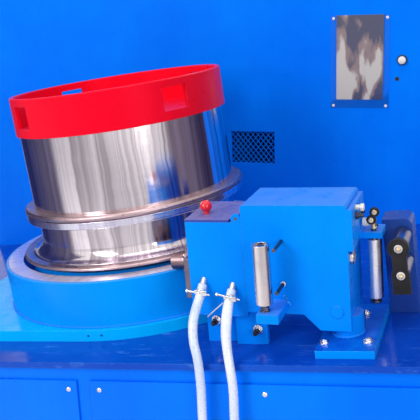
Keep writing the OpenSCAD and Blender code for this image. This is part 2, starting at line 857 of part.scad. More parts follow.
module guide_roller_pins() {
    bottom = guide_z - moving_gap - guide_collar_t;
    head = guide_pin_d / 2;
    color("dimgray") in_box() for (y = [guide_front_y, guide_back_y]) translate([guide_x, y, bottom]) {
        cylinder(h = guide_arm_z + guide_arm_t + head - bottom, d = guide_pin_d);
        cylinder(h = guide_collar_t, r = guide_roller_r);
    }
}

module guide_roller(y) {
    in_box() translate([guide_x, y, guide_z]) difference() {
        cylinder(h = guide_roller_l, r = guide_roller_r);
        translate([0, 0, -over])
            cylinder(h = guide_roller_l + 2 * over, d = guide_pin_d + running_clearance);
    }
}

module guide_roller_front() {
    color("silver") guide_roller(guide_front_y);
}

module guide_roller_back() {
    color("gray") guide_roller(guide_back_y);
}

module guide_stand() {
    color("blue") on_bed() run_back(-stand_front, -stand_front + stand_d) union() {
        translate([stand_x, 0]) square([stand_w, stand_h - stand_round]);
        translate([stand_x, 0]) square([stand_w - stand_round, stand_h]);
        translate([stand_x + stand_w - stand_round, stand_h - stand_round]) circle(stand_round);
    }
}

module cross_roller_pins() {
    color("dimgray") on_bed() for (z = [cross_lower_z, cross_upper_z])
        along_y(cross_roller_x, link_back, -stand_front, z, cross_pin_d);
}

module cross_roller(z) {
    on_bed() difference() {
        along_y(cross_roller_x, cross_roller_y, cross_roller_y + cross_roller_l, z, 2 * cross_roller_r);
        along_y(cross_roller_x, link_back, -stand_front, z, cross_pin_d + running_clearance);
    }
}

module cross_roller_upper() {
    color("gray") cross_roller(cross_upper_z);
}

module cross_roller_lower() {
    color("gray") cross_roller(cross_lower_z);
}

module guide_link() {
    color("black") on_bed() run_back(link_back - link_t, link_back) translate([cross_roller_x, 0]) {
        translate([0, cross_upper_z]) circle(link_top_r);
        translate([-link_waist_w / 2, cross_lower_z]) square([link_waist_w, cross_upper_z - cross_lower_z]);
        translate([0, cross_lower_z]) circle(link_w / 2);
        translate([-link_w / 2, link_z]) square([link_w, cross_lower_z - link_z]);
    }
}

// Where the hoses' routes are measured from
module at_hoses() {
    placed() translate([0, -box_front, bed_height]) children();
}

// Puts a fitting on a hose's end, with z along the way the hose leaves
module at_hose_end(p, q) {
    way = unit(q - p);
    translate(p) rotate([0, acos(way[2]), atan2(way[1], way[0])]) children();
}

module hose_nipples() {
    nipple_l = 2 * nipple_d;
    color("gray") difference() {
        at_hoses() for (route = routes) at_hose_end(route[0], route[1])
            translate([0, 0, -nipple_l]) cylinder(h = nipple_l, d = nipple_d);
        in_box() block(0, far, -box_front, 0, 0, far);
    }
}

module hose_elbows() {
    face = box_front - bed_front - cover_t;
    color("gray") at_hoses() for (route = routes) {
        end = route[len(route) - 1];
        translate(end) translate([0, 0, -elbow_h]) {
            cylinder(h = elbow_h, d = hose_d);
            translate([0, 0, -elbow_r]) cylinder(h = elbow_h - elbow_r, r = elbow_r);
            rotate([-90, 0, 0]) cylinder(h = face - end[1], r = elbow_r);
        }
    }
}

// One plain tube along a route's own points
module hose(route) {
    sides = 12;
    last = len(route) - 1;
    ways = [for (i = [0 : last]) unit(route[min(i + 1, last)] - route[max(i - 1, 0)])];
    points = [for (i = [0 : last]) let (u = unit(cross(ways[i], [1, 0, 0])), v = cross(ways[i], u))
        for (k = [0 : sides - 1]) let (a = 360 * k / sides)
            route[i] + hose_d / 2 * (cos(a) * u + sin(a) * v)];
    skin = [for (i = [0 : last - 1]) for (k = [0 : sides - 1])
        let (a = i * sides + k, b = i * sides + (k + 1) % sides)
            each [[a, a + sides, b], [b, a + sides, b + sides]]];
    color("white") polyhedron(points = points, faces = concat(skin,
        [[for (k = [0 : sides - 1]) k]],
        [[for (k = [sides - 1 : -1 : 0]) last * sides + k]]));
}

module hose_left() {
    at_hoses() hose(hose_left_route);
}

module hose_right() {
    at_hoses() hose(hose_right_route);
}

bed_body();
bed_plinth();
floor_lugs();
bed_front_covers();
deck_plate();
cabinet_front();
cabinet_back();
cabinet_sides();
cabinet_top();
vent_mesh();
window_cover();
drum_base_plate();
drum_housing();
housing_rim_ring();
drum_bearing();
drum_spindle();
drum_lower_flange();
drum_lower_body();
drum_mid_band();
drum_mid_flange();
drum_upper_body();
drum_top_plate();
drum_hub_cap();
drum_red_ring();
small_die_box();
die_holder();
big_die_box();
lid_ears();
lid_hinge_pin();
die_box_lid();
lid_knob();
exit_plate();
exit_nozzle();
support_post();
post_foot_plate();
box_cradle();
roller_bracket();
front_roller_pin();
front_roller();
roller_studs();
guide_side_plate();
guide_roller_pins();
guide_roller_front();
guide_roller_back();
guide_stand();
cross_roller_pins();
cross_roller_upper();
cross_roller_lower();
guide_link();
hose_nipples();
hose_elbows();
hose_left();
hose_right();
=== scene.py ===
"""The looks of the wire drawing machine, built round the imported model.

Places are in millimetres from the drum foot, in one of three frames: PLAIN is upright, BED lies on the
inclined bed with the drum's axis as z, and BOX stands with the die box. The profile of a turned part is a
list of (radius, height) pairs. The camera, the window's opening, the hoses' routes, the floor, the cards and
the lights are in metres.
"""

import math

import bmesh
import bpy
from mathutils import Matrix, Vector


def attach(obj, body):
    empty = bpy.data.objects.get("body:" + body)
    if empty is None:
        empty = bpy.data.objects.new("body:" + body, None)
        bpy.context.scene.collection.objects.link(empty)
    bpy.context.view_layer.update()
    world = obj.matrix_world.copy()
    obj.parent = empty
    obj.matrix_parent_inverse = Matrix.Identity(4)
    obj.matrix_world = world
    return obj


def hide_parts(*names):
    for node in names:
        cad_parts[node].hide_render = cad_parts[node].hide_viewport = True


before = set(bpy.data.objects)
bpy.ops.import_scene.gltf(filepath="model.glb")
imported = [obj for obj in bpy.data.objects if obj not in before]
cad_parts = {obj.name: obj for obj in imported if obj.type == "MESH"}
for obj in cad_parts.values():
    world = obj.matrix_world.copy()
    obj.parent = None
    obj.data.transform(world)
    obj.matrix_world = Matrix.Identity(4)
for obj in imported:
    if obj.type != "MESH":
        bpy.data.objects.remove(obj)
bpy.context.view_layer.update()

# Frames and directions
MM = 0.001
FOOT = Vector((-0.05, -0.10, 0.72))
BED_SLOPE = math.radians(6.7)
BOX_SLOPE = math.radians(3.0)
PLAIN = Matrix.Translation(FOOT)
BED = PLAIN @ Matrix.Rotation(-BED_SLOPE, 4, "Y")
BOX = PLAIN @ Matrix.Rotation(-BOX_SLOPE, 4, "Y")
FORWARD = (0, -1, 0)
RIGHT = (1, 0, 0)
LEFT = (-1, 0, 0)
UP = (0, 0, 1)

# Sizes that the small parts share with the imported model
BOX_FRONT = -480
BOX_RIGHT = 730
SIDE_PLATE = BOX_RIGHT + 12
WALL = 520
BED_FRONT = -560
FOOT_PLATE_TOP = 20


# Camera

EYE = (0.9428, -2.258, 1.6296)
YAW = math.radians(19.878)
PITCH = math.radians(15.862)
ROLL = math.radians(-2.383)
SENSOR = 36
FOCAL_PIXELS = 781.13
PHOTO_WIDTH = 420
NEAREST = 0.05
FARTHEST = 60


def make_camera():
    """The eye that the photograph was taken from, at the height of a standing person."""
    ahead = Vector((-math.sin(YAW) * math.cos(PITCH), math.cos(YAW) * math.cos(PITCH), -math.sin(PITCH)))
    level = Vector((math.cos(YAW), math.sin(YAW), 0))
    upright = level.cross(ahead)
    right = level * math.cos(ROLL) + upright * math.sin(ROLL)
    up = upright * math.cos(ROLL) - level * math.sin(ROLL)
    cam = bpy.data.objects.new("camera", bpy.data.cameras.new("camera"))
    cam.data.sensor_width = SENSOR
    cam.data.lens = SENSOR * FOCAL_PIXELS / PHOTO_WIDTH
    cam.data.clip_start = NEAREST
    cam.data.clip_end = FARTHEST
    turn = Matrix((right, up, -ahead)).transposed().to_4x4()
    cam.matrix_world = Matrix.Translation(EYE) @ turn
    bpy.context.scene.collection.objects.link(cam)
    bpy.context.scene.camera = cam


make_camera()


# Material nodes

# The colour sockets of a Mix node
MIX_FACTOR = 0
MIX_A = 6
MIX_B = 7
MIX_RESULT = 2

# An edge counts fully where 1 less the cosine between the rounded and the flat normal reaches this
FULL_EDGE = 0.25
BEVEL_SAMPLES = 6


class Shade:
    """A material's nodes. Plain numbers are set on the shader's own sockets."""

    def __init__(self, name, **plain):
        self.mat = bpy.data.materials.new(name)
        self.mat.use_nodes = True
        self.tree = self.mat.node_tree
        self.bsdf = self.tree.nodes["Principled BSDF"]
        for key, value in plain.items():
            self.bsdf.inputs[key.replace("_", " ")].default_value = value

    def node(self, kind, ins=None, **props):
        made = self.tree.nodes.new("ShaderNode" + kind)
        for key, value in props.items():
            setattr(made, key, value)
        for key, value in (ins or {}).items():
            self.put(made.inputs[key], value)
        return made

    def put(self, socket, value):
        if isinstance(value, bpy.types.NodeSocket):
            self.tree.links.new(value, socket)
        else:
            socket.default_value = value

    def coords(self, place=None, scale=(1, 1, 1)):
        """Object coordinates, turned back from a placed frame, then scaled."""
        made = self.node("TexCoord").outputs["Object"]
        if place is not None:
            back = place.inverted()
            made = self.node("Mapping", {"Vector": made, "Location": back.to_translation(),
                                         "Rotation": back.to_euler()}).outputs[0]
        return self.node("Mapping", {"Vector": made, "Scale": scale}).outputs[0]

    def split(self, vector):
        return self.node("SeparateXYZ", {0: vector}).outputs

    def noise(self, vector, scale, detail, rough, distort=0.0):
        return self.node("TexNoise", {"Vector": vector, "Scale": scale, "Detail": detail,
                                      "Roughness": rough, "Distortion": distort}).outputs["Fac"]

    def line_noise(self, value, scale, detail, rough):
        return self.node("TexNoise", {"W": value, "Scale": scale, "Detail": detail, "Roughness": rough},
                         noise_dimensions="1D").outputs["Fac"]

    def spread(self, value, low, high, to_low=0.0, to_high=1.0):
        return self.node("MapRange", {"Value": value, "From Min": low, "From Max": high,
                                      "To Min": to_low, "To Max": to_high}).outputs[0]

    def math(self, operation, a, b=0.0, clamp=True):
        return self.node("Math", {0: a, 1: b}, operation=operation, use_clamp=clamp).outputs[0]

    def times(self, a, b):
        return self.math("MULTIPLY", a, b)

    def mix(self, factor, a, b):
        made = self.node("Mix", data_type="RGBA")
        self.put(made.inputs[MIX_FACTOR], factor)
        self.put(made.inputs[MIX_A], a)
        self.put(made.inputs[MIX_B], b)
        return made.outputs[MIX_RESULT]

    def edges(self, radius):
        """High where a rounded edge leaves the flat face, and the rounded edge's normal."""
        round_off = self.node("Bevel", {"Radius": radius}, samples=BEVEL_SAMPLES).outputs[0]
        flat = self.node("NewGeometry").outputs["Normal"]
        dot = self.node("VectorMath", {0: round_off, 1: flat}, operation="DOT_PRODUCT").outputs["Value"]
        leaves = self.math("SUBTRACT", 1.0, dot, clamp=False)
        return self.spread(leaves, low=0.0, high=FULL_EDGE), round_off

    def bump(self, height, strength, distance, normal=None):
        ins = {"Height": height, "Strength": strength, "Distance": distance}
        if normal is not None:
            ins["Normal"] = normal
        return self.node("Bump", ins).outputs[0]

    def finish(self, colour, rough=None, normal=None, alpha=None):
        ins = {"Base Color": colour, "Roughness": rough, "Normal": normal, "Alpha": alpha}
        for key, value in ins.items():
            if value is not None:
                self.put(self.bsdf.inputs[key], value)
        return self.mat


# Kinds of finish

def rgb(r, g, b):
    return (r, g, b, 1.0)


# What most of the blue paints share, and the radius in metres to which each kind's edges are shaded round
# The lilac laid on faces that look up stands for dust and a painted sheen of the light from above
TOP_DUST_AND_SHEEN = rgb(0.42, 0.40, 0.72)
# The chalky pale blue is worn paint on edges, scuffs and specks, and on edges it is also a painted highlight
CHALK_AND_HIGHLIGHT = rgb(0.10, 0.50, 0.95)
BLUE_SHEEN = rgb(0.02, 0.32, 1.0)
PAINT_EDGE = 0.003
STEEL_EDGE = 0.002
PLASTIC_EDGE = 0.0015


def paint(name, colour, deep, chalk_and_highlight=CHALK_AND_HIGHLIGHT, tint=BLUE_SHEEN, rough=0.3, coat=0.0, edge_wear_and_highlight=0.35, top_dust_and_light=0.0,
          top_dust_and_light_colour=TOP_DUST_AND_SHEEN, scuffs=0.0):
    """Brushed-on enamel: slow tone changes, runs, orange peel, chalky edges that are partly a painted
    highlight, and on what faces up a dusty film mixed with painted top light, which is a lilac painted sheen
    unless a dark colour makes it painted shade.
    """
    s = Shade(name, Coat_Weight=coat, Coat_Roughness=0.08, Specular_Tint=tint)
    at = s.coords()
    slow = s.noise(at, scale=2.3, detail=4.0, rough=0.55)
    made = s.mix(s.spread(slow, low=0.3, high=0.7), colour, deep)
    drawn_down = s.noise(s.coords(scale=(9, 9, 1.6)), scale=3.0, detail=4.0, rough=0.6)
    made = s.mix(s.spread(drawn_down, low=0.42, high=0.75, to_high=0.4), made, deep)
    rag = s.noise(at, scale=24.0, detail=5.0, rough=0.6)
    # Faces that look up are mixed in patches toward the top colour: dust, and painted light; the default
    # lilac is a painted sheen, a dark colour is painted shade
    if top_dust_and_light:
        faces = s.split(s.node("NewGeometry").outputs["Normal"])["Z"]
        faces_up = s.spread(faces, low=0.55, high=0.95)
        patchy = s.times(faces_up, s.spread(rag, low=0.25, high=0.6, to_low=0.6))
        made = s.mix(s.times(patchy, top_dust_and_light), made, top_dust_and_light_colour)
    # Edges go chalky where the bevel turns: partly worn paint, partly a painted highlight along lit lips and
    # rims
    worn, normal = s.edges(PAINT_EDGE)
    chips = s.spread(s.noise(at, scale=55.0, detail=5.0, rough=0.7), low=0.45, high=0.62)
    made = s.mix(s.times(s.times(worn, chips), edge_wear_and_highlight), made, chalk_and_highlight)
    if scuffs:
        drag = s.noise(s.coords(scale=(7, 26, 7)), scale=1.6, detail=7.0, rough=0.72, distort=0.4)
        made = s.mix(s.spread(drag, low=0.56, high=0.74, to_high=scuffs), made, chalk_and_highlight)
    specks = s.noise(at, scale=210.0, detail=2.0, rough=0.5)
    made = s.mix(s.spread(specks, low=0.71, high=0.79, to_high=0.3), made, chalk_and_highlight)
    peel = s.noise(at, scale=260.0, detail=2.0, rough=0.4)
    normal = s.bump(peel, strength=0.10, distance=0.0006, normal=normal)
    normal = s.bump(rag, strength=0.10, distance=0.0025, normal=normal)
    sheen = s.spread(rag, low=0.3, high=0.7, to_low=rough - 0.08, to_high=rough + 0.12)
    return s.finish(made, sheen, normal)


def rubbed_steel(s, made, bright, stain, fine, rough, soil, relief):
    """What ends every steel: bright edges, stains that dull it, and the relief of its grain."""
    worn, normal = s.edges(STEEL_EDGE)
    made = s.mix(s.times(worn, 0.6), made, bright)
    grain = s.spread(fine, low=0.3, high=0.7, to_low=rough * 0.7, to_high=rough * 1.3)
    cloud = s.math("ADD", s.times(stain, soil), grain)
    return s.finish(made, cloud, s.bump(fine, strength=relief, distance=0.0004, normal=normal))


def metal(name, bright, dull, rough=0.25, grain=(300, 300, 300), streak=(20, 20, 20), streaks=0.5,
          rust=None, patches=20.0, place=None, metallic=1.0):
    """Worked metal: drawn lines, stains, rust spots and a rubbed edge. The frame gives the lines' way."""
    s = Shade(name, Metallic=metallic)
    drawn = s.noise(s.coords(place, streak), scale=1.0, detail=4.0, rough=0.62)
    made = s.mix(s.times(s.spread(drawn, low=0.36, high=0.64), streaks), bright, dull)
    stain = s.spread(s.noise(s.coords(place), scale=patches, detail=5.0, rough=0.65), low=0.48, high=0.72)
    made = s.mix(s.times(stain, 0.35), made, dull)
    if rust is not None:
        spots = s.noise(s.coords(place), scale=patches * 6, detail=6.0, rough=0.7)
        made = s.mix(s.spread(spots, low=0.56, high=0.70), made, rust)
    fine = s.noise(s.coords(place, grain), scale=1.0, detail=3.0, rough=0.6)
    return rubbed_steel(s, made, bright, stain, fine, rough, soil=0.12, relief=0.12)


def turned(name, bright, dull, deep, rough, bands=0.8, anisotropy=0.75, rings=700, metallic=1.0):
    """Steel turned and polished round the drum's axis. Its upright bands are partly polish variation and
    partly painted reflections of bright and dark surroundings.
    """
    s = Shade(name, Metallic=metallic, Anisotropic=anisotropy, Anisotropic_Rotation=0.25)
    s.put(s.bsdf.inputs["Tangent"], s.node("Tangent", direction_type="RADIAL", axis="Z").outputs[0])
    x, y = s.split(s.coords(BED))[:2]
    angle = s.math("ARCTAN2", x, s.math("MULTIPLY", y, -1.0, clamp=False), clamp=False)
    waver = s.noise(s.coords(BED), scale=5.0, detail=3.0, rough=0.6)
    angle = s.math("ADD", angle, s.math("MULTIPLY", waver, 0.10, clamp=False), clamp=False)
    # Bright and dark upright bands by angle round the axis: partly polish, partly painted reflections; dark
    # painted reflection lines go toward deep
    wide = s.spread(s.line_noise(angle, scale=5.2, detail=1.0, rough=0.6), low=0.45, high=0.56)
    narrow = s.spread(s.line_noise(angle, scale=15.0, detail=3.0, rough=0.6), low=0.44, high=0.60)
    both = s.math("ADD", s.times(wide, 0.50), s.times(narrow, 0.50))
    made = s.mix(s.times(both, bands), bright, dull)
    dark_reflection_line = s.spread(s.line_noise(angle, scale=9.0, detail=5.0, rough=0.75), low=0.60, high=0.68)
    made = s.mix(s.times(dark_reflection_line, bands * 0.7), made, deep)
    stain = s.spread(s.noise(s.coords(BED), scale=7.0, detail=5.0, rough=0.65), low=0.50, high=0.75)
    made = s.mix(s.times(stain, 0.3), made, dull)
    fine = s.noise(s.coords(BED, (3, 3, rings)), scale=1.0, detail=3.0, rough=0.6)
    return rubbed_steel(s, made, bright, stain, fine, rough, soil=0.10, relief=0.10)


def plastic(name, colour, dark, rough, coat=0.2, shine=0.5):
    """Moulded or turned plastic, a little soiled and pale at its edges."""
    s = Shade(name, Coat_Weight=coat, Coat_Roughness=0.1, Specular_IOR_Level=shine)
    at = s.coords()
    soil = s.spread(s.noise(at, scale=30.0, detail=4.0, rough=0.6), low=0.35, high=0.7)
    worn, normal = s.edges(PLASTIC_EDGE)
    made = s.mix(s.times(worn, 0.15), s.mix(soil, colour, dark), rgb(0.8, 0.8, 0.8))
    cloud = s.noise(at, scale=90.0, detail=3.0, rough=0.5)
    sheen = s.spread(cloud, low=0.3, high=0.7, to_low=rough - 0.08, to_high=rough + 0.1)
    skin = s.noise(at, scale=600.0, detail=2.0, rough=0.5)
    return s.finish(made, sheen, s.bump(skin, strength=0.08, distance=0.0003, normal=normal))


def window_sheet():
    """A clear cover: almost unseen over the wall, and over the opening a painted reflection of dark, brown
    and pale soft shapes.
    """
    middle = 0.582
    half_width = 0.078
    sill = 0.524
    soft = 0.0005
    s = Shade("window_sheet", Coat_Weight=0.2, Specular_IOR_Level=0.8)
    sides = s.split(s.coords(PLAIN))
    aside = s.math("ABSOLUTE", s.math("SUBTRACT", sides["X"], middle, clamp=False))
    across = s.spread(aside, low=half_width - soft, high=half_width + soft, to_low=1.0, to_high=0.0)
    above = s.spread(sides["Z"], low=sill - soft, high=sill + soft)
    opening = s.times(across, above)
    shapes = s.noise(s.coords(PLAIN, (15, 15, 6)), scale=1.0, detail=3.0, rough=0.5, distort=0.2)
    # Painted reflection: soft shapes of dark navy, brown and cream laid into the colour over the opening
    pale = s.mix(s.spread(shapes, low=0.50, high=0.55), rgb(0.05, 0.055, 0.11), rgb(0.24, 0.17, 0.17))
    pale = s.mix(s.spread(shapes, low=0.57, high=0.62), pale, rgb(0.52, 0.49, 0.44))
    made = s.mix(opening, rgb(0.02, 0.30, 0.92), pale)
    edge, normal = s.edges(PLASTIC_EDGE)
    # The sheet's border shows more strongly: its edge, with a painted edge highlight in the lighter blue
    alpha = s.math("MAXIMUM", s.spread(opening, low=0.0, high=1.0, to_low=0.16), s.times(edge, 0.7))
    sheen = s.spread(shapes, low=0.3, high=0.7, to_low=0.06, to_high=0.2)
    return s.finish(made, sheen, s.bump(shapes, strength=0.1, distance=0.002, normal=normal), alpha)


def hose_rubber():
    """Soft milky hose that lets a little light through."""
    s = Shade("hose_rubber", Subsurface_Weight=0.35, Subsurface_Scale=0.01, Transmission_Weight=0.12,
              Coat_Weight=0.3, Coat_Roughness=0.15)
    s.bsdf.inputs["Subsurface Radius"].default_value = (1.0, 1.0, 1.0)
    at = s.coords()
    milk = s.noise(s.coords(scale=(14, 14, 5)), scale=1.0, detail=4.0, rough=0.6)
    made = s.mix(s.spread(milk, low=0.35, high=0.7), rgb(0.90, 0.93, 0.98), rgb(0.60, 0.71, 0.90))
    cloud = s.noise(at, scale=120.0, detail=3.0, rough=0.5)
    sheen = s.spread(cloud, low=0.3, high=0.7, to_low=0.22, to_high=0.38)
    skin = s.noise(at, scale=90.0, detail=3.0, rough=0.5)
    return s.finish(made, sheen, s.bump(skin, strength=0.12, distance=0.0008))


# Blue paints

blue = paint("machine_blue", colour=rgb(0.0008, 0.285, 0.93), deep=rgb(0.0008, 0.215, 0.88), top_dust_and_light=0.14)
housing_blue = paint("housing_blue", colour=rgb(0.0008, 0.37, 0.93), deep=rgb(0.0008, 0.28, 0.90),
                     rough=0.26, edge_wear_and_highlight=0.7, top_dust_and_light=0.22)
plate_blue = paint("plate_blue", colour=rgb(0.0008, 0.52, 0.95), deep=rgb(0.0008, 0.43, 0.93),
                   rough=0.24, edge_wear_and_highlight=0.6)
# The foot plate's top is laid almost wholly with a dark blue: painted shade for the shadow it lies in
foot_blue = paint("foot_blue", colour=rgb(0.0008, 0.34, 0.93), deep=rgb(0.0008, 0.27, 0.90),
                  rough=0.2, edge_wear_and_highlight=0.7, top_dust_and_light=0.95, top_dust_and_light_colour=rgb(0.002, 0.075, 0.56))
# The lid's dark lilac colour, with its heavy lilac on top, is a painted sheen of the light from above
lid_blue_painted_sheen = paint("lid_blue_painted_sheen", colour=rgb(0.06, 0.07, 0.34), deep=rgb(0.05, 0.055, 0.28), top_dust_and_light=0.4)
# The deck's blue is far darker than the machine's blue: painted shade for the dim light on this low top; its
# scuffs are wear
deck_blue_painted_shade = paint("deck_blue_painted_shade", colour=rgb(0.003, 0.080, 0.52), deep=rgb(0.001, 0.045, 0.42),
                  chalk_and_highlight=rgb(0.09, 0.30, 0.75), tint=rgb(0.12, 0.38, 1.0), rough=0.15, coat=0.12, scuffs=0.6)
wall_blue = paint("wall_blue", colour=rgb(0.0008, 0.205, 0.92), deep=rgb(0.0008, 0.150, 0.86),
                  chalk_and_highlight=rgb(0.05, 0.32, 0.9), rough=0.33, edge_wear_and_highlight=0.2)
# The guide stand's dark navy is painted shade for the shadow it stands in
stand_blue_painted_shade = paint("stand_blue_painted_shade", colour=rgb(0.022, 0.085, 0.40), deep=rgb(0.016, 0.060, 0.30),
                   chalk_and_highlight=rgb(0.08, 0.25, 0.7), tint=rgb(0.3, 0.5, 1.0), rough=0.28, top_dust_and_light=0.05)
pale_blue = paint("pale_blue", colour=rgb(0.10, 0.55, 0.97), deep=rgb(0.05, 0.45, 0.95),
                  chalk_and_highlight=rgb(0.4, 0.7, 1.0))

# Other paints

dark = paint("plinth_dark", colour=rgb(0.012, 0.014, 0.018), deep=rgb(0.006, 0.007, 0.010),
             chalk_and_highlight=rgb(0.12, 0.12, 0.13), tint=rgb(1, 1, 1), rough=0.5)
red = paint("ring_red", colour=rgb(0.93, 0.003, 0.024), deep=rgb(0.80, 0.002, 0.016),
            chalk_and_highlight=rgb(0.95, 0.12, 0.16), tint=rgb(1.0, 0.05, 0.10), rough=0.33, edge_wear_and_highlight=0.5)

# Steels turned round the drum's axis

polished = turned("polished_steel", bright=rgb(1.0, 0.92, 0.94), dull=rgb(0.40, 0.34, 0.36),
                  deep=rgb(0.05, 0.045, 0.09), rough=0.12)
machined = turned("machined_steel", bright=rgb(0.90, 0.88, 0.98), dull=rgb(0.60, 0.55, 0.68),
                  deep=rgb(0.30, 0.28, 0.40), rough=0.24, bands=0.7, anisotropy=0.5, rings=300)
# The rim ring's pale lilac, shown with less metal shine, is partly machined steel and partly a painted
# reflection of the drum above it
ring_steel = turned("ring_steel", bright=rgb(0.88, 0.87, 1.0), dull=rgb(0.58, 0.56, 0.80),
                    deep=rgb(0.34, 0.31, 0.52), rough=0.30, bands=0.6, anisotropy=0.0, rings=300,
                    metallic=0.7)

# Other metals

brown = metal("brown_steel", bright=rgb(0.66, 0.50, 0.50), dull=rgb(0.34, 0.24, 0.25), rough=0.34, place=BED,
              streak=(9, 9, 3), grain=(4, 4, 300), rust=rgb(0.28, 0.13, 0.12), patches=12.0)
nozzle_steel = metal("nozzle_steel", bright=rgb(0.30, 0.21, 0.22), dull=rgb(0.10, 0.07, 0.08), rough=0.4,
                     rust=rgb(0.22, 0.07, 0.05), patches=14.0)
dark_steel = metal("dark_steel", bright=rgb(0.16, 0.15, 0.17), dull=rgb(0.05, 0.045, 0.05), rough=0.32)
plate_steel = metal("plate_steel", bright=rgb(0.26, 0.22, 0.27), dull=rgb(0.10, 0.09, 0.13), rough=0.36,
                    patches=14.0)
roller_steel = metal("bright_roller", bright=rgb(0.88, 0.82, 0.80), dull=rgb(0.46, 0.38, 0.36), rough=0.2,
                     place=BOX, streak=(40, 40, 2), streaks=0.6, grain=(6, 6, 500), patches=30.0)
guide_steel = metal("guide_steel", bright=rgb(0.98, 0.94, 0.93), dull=rgb(0.60, 0.54, 0.53), rough=0.34,
                    place=BOX, streak=(30, 30, 2), streaks=0.4, grain=(6, 6, 500), patches=18.0,
                    metallic=0.82)
cross_steel = metal("cross_roller", bright=rgb(0.40, 0.37, 0.42), dull=rgb(0.16, 0.14, 0.18),
                    grain=(400, 8, 400), streak=(20, 3, 20))
bolt_steel = metal("bolt_steel", bright=rgb(0.86, 0.84, 0.82), dull=rgb(0.38, 0.35, 0.33), rough=0.2,
                   patches=60.0)
brass = metal("brass_steel", bright=rgb(0.90, 0.74, 0.48), dull=rgb(0.50, 0.32, 0.17), patches=60.0)

# Plastics, window and hose

cream = plastic("cream_bush", colour=rgb(0.82, 0.80, 0.74), dark=rgb(0.64, 0.61, 0.56), rough=0.4)
black = plastic("black_plastic", colour=rgb(0.008, 0.007, 0.007), dark=rgb(0.020, 0.017, 0.016), rough=0.40,
                coat=0.0, shine=0.28)
red_ball = plastic("red_ball", colour=rgb(0.86, 0.006, 0.02), dark=rgb(0.66, 0.004, 0.015), rough=0.22,
                   coat=0.5)
glass = window_sheet()
rubber = hose_rubber()

LOOKS = {
    blue: ("small_die_box", "lid_ears", "big_die_box", "support_post", "box_cradle", "roller_bracket",
           "guide_side_plate"),
    housing_blue: ("drum_housing",),
    plate_blue: ("drum_base_plate",),
    foot_blue: ("post_foot_plate",),
    wall_blue: ("bed_body", "floor_lugs", "bed_front_covers", "cabinet_front", "cabinet_back",
                "cabinet_sides", "cabinet_top", "vent_mesh"),
    lid_blue_painted_sheen: ("die_box_lid",),
    deck_blue_painted_shade: ("deck_plate",),
    stand_blue_painted_shade: ("guide_stand",),
    dark: ("bed_plinth",),
    red: ("drum_top_plate", "drum_hub_cap", "drum_red_ring"),
    polished: ("drum_lower_body", "drum_upper_body"),
    machined: ("drum_bearing", "drum_spindle", "drum_mid_band"),
    ring_steel: ("housing_rim_ring",),
    brown: ("drum_lower_flange", "drum_mid_flange"),
    nozzle_steel: ("exit_nozzle",),
    plate_steel: ("exit_plate",),
    dark_steel: ("die_holder", "lid_hinge_pin", "front_roller_pin", "roller_studs", "guide_roller_pins",
                 "guide_roller_back", "cross_roller_pins"),
    cross_steel: ("cross_roller_upper", "cross_roller_lower"),
    roller_steel: ("front_roller",),
    guide_steel: ("guide_roller_front",),
    bolt_steel: ("hose_nipples", "hose_elbows"),
    black: ("guide_link",),
    red_ball: ("lid_knob",),
    glass: ("window_cover",),
    rubber: ("hose_left", "hose_right"),
}


def dress(obj, mat):
    obj.data.materials.clear()
    obj.data.materials.append(mat)


for mat, names in LOOKS.items():
    for name in names:
        dress(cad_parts[name], mat)


# Tools for small parts

HEXAGON = 6
WASHER_HEIGHT = 2.2
SUNK = 0.2
BALL_ROWS = 10
SHARP = math.radians(33)
NEARLY_UP = (0.1, 0.2, 1)


def link(name, mesh, body, mat):
    obj = bpy.data.objects.new(name, mesh)
    bpy.context.scene.collection.objects.link(obj)
    dress(obj, mat)
    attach(obj, body)
    return obj


def sweep(bm, path, radii, sides, across, closed=False):
    """A tube along a path in metres. radii gives two half widths for a share of the way: the first square
    to the direction across, the second along it."""
    last = len(path) - 1
    rings = []
    for i, p in enumerate(path):
        before, after = (i - 1, (i + 1) % len(path)) if closed else (max(i - 1, 0), min(i + 1, last))
        way = (path[after] - path[before]).normalized()
        u = way.cross(across).normalized()
        v = way.cross(u)
        ru, rv = radii(i / last)
        rings.append([bm.verts.new(p + ru * math.cos(a) * u + rv * math.sin(a) * v)
                      for a in (math.tau * k / sides for k in range(sides))])
    for a, b in zip(rings, rings[1:] + (rings[:1] if closed else [])):
        for k in range(sides):
            bm.faces.new((a[k], b[k], b[(k + 1) % sides], a[(k + 1) % sides]))
    if not closed:
        bm.faces.new(rings[0])
        bm.faces.new(reversed(rings[-1]))


